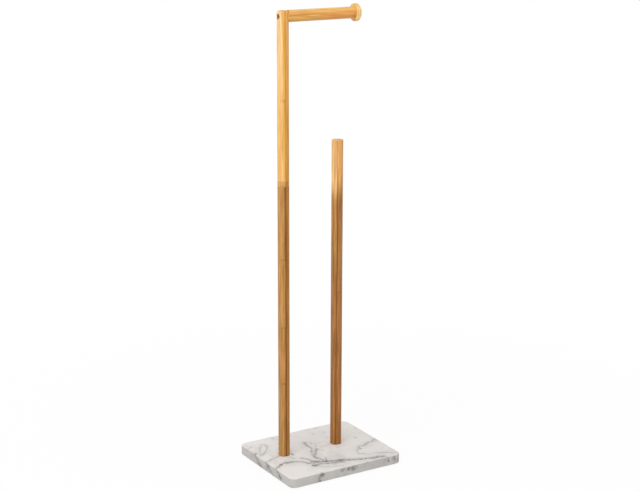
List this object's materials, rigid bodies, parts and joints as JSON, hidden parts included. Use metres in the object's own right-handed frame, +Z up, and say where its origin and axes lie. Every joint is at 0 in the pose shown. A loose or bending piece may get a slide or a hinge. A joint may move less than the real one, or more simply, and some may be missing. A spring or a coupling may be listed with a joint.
{
  "type": "toilet paper stand",
  "caption": "Free-standing toilet paper stand: marble slab base, tall round bamboo post with a level arm and stop disc for the roll in use, and a short bamboo post for spare rolls.",
  "frame": {"origin": "on the floor, under the centre of the slab", "axes": "+Z up, +X along the slab's long side and the roll arm, from the tall post to the stop disc, +Y to the back"},
  "size_m": [0.203, 0.169, 0.7239],
  "materials": {
    "marble": "honed white marble with grey veins",
    "bamboo": "laminated bamboo under satin lacquer",
    "dowel_wood": "raw beech dowel",
    "zinc_steel": "zinc plated",
    "bronzed_steel": "bronzed",
    "insert_brass": "turned brass",
    "foot_rubber": "soft matt pad"
  },
  "bodies": {
    "base": {"base_slab": "marble", "foot_pad_front_left": "foot_rubber", "foot_pad_front_right": "foot_rubber", "foot_pad_back_left": "foot_rubber", "foot_pad_back_right": "foot_rubber", "tall_post_base_washer": "zinc_steel", "spare_post": "bamboo", "spare_post_base_screw": "zinc_steel", "spare_post_base_washer": "zinc_steel", "spare_post_base_insert": "insert_brass"},
    "tall_post": {"tall_post_lower": "bamboo", "tall_post_upper": "bamboo", "tall_post_base_screw": "zinc_steel", "tall_post_base_insert": "insert_brass", "joining_stud": "zinc_steel", "joint_insert_lower": "insert_brass", "joint_insert_upper": "insert_brass", "roll_arm": "bamboo", "arm_screw": "bronzed_steel", "arm_insert": "insert_brass", "arm_stop_disc": "bamboo", "stop_disc_dowel": "dowel_wood"}
  },
  "joints": [
    {"name": "tall_post_swivel", "type": "hinge", "parent": "base", "child": "tall_post", "pos_m": [-0.0615, 0.0082, 0.0169], "axis": [0, 0, 1], "range_deg": [-90, 90]}
  ]
}
